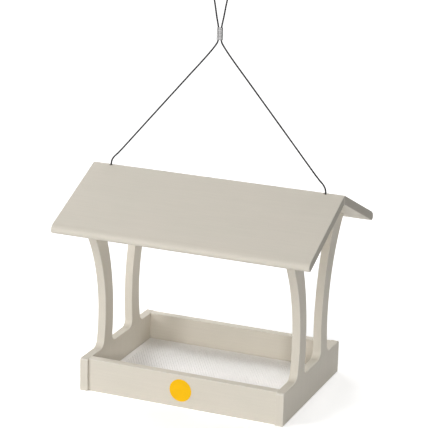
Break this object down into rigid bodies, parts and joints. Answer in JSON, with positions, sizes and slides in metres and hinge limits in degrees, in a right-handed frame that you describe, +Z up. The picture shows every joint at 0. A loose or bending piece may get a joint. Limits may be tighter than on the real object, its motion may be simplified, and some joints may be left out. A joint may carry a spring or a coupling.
{
  "type": "hanging fly-through bird feeder",
  "caption": "Hanging fly-through bird feeder: open tray with a lift-out perforated seed screen, arched end frames and a pitched roof on a looped wire cable.",
  "frame": {"origin": "middle of the rectangle that the feeder without its cable takes up, on the plane that the tray stands on", "axes": "+X along the ridge, to the right when seen from the front; +Y from front to back; +Z up"},
  "size_m": [0.37, 0.264, 0.5852],
  "materials": {
    "plastic_board": "smooth matte plastic lumber",
    "screen_sheet": "mill-finish perforated sheet",
    "fastener_steel": "plain stainless",
    "cable_steel": "stranded stainless wire",
    "crimp_metal": "pressed aluminium",
    "label_yellow": "smooth vinyl"
  },
  "bodies": {
    "feeder": {"left_end_frame": "plastic_board", "right_end_frame": "plastic_board", "front_rail": "plastic_board", "back_rail": "plastic_board", "front_roof_panel": "plastic_board", "back_roof_panel": "plastic_board", "front_ledge": "plastic_board", "back_ledge": "plastic_board", "left_ledge": "plastic_board", "right_ledge": "plastic_board", "rail_screws": "fastener_steel", "rail_screw_plugs": "plastic_board", "roof_screws": "fastener_steel", "roof_screw_plugs": "plastic_board", "ledge_screws": "fastener_steel", "hanging_cable": "cable_steel", "cable_ferrule": "crimp_metal", "left_cable_stop": "crimp_metal", "right_cable_stop": "crimp_metal", "stop_washers": "fastener_steel", "label_disc": "label_yellow"},
    "screen": {"seed_screen": "screen_sheet"}
  },
  "joints": [
    {"name": "seed_screen_lift", "type": "slide", "parent": "feeder", "child": "screen", "axis": [0, 0, 1], "range_m": [0, 0.045]}
  ]
}
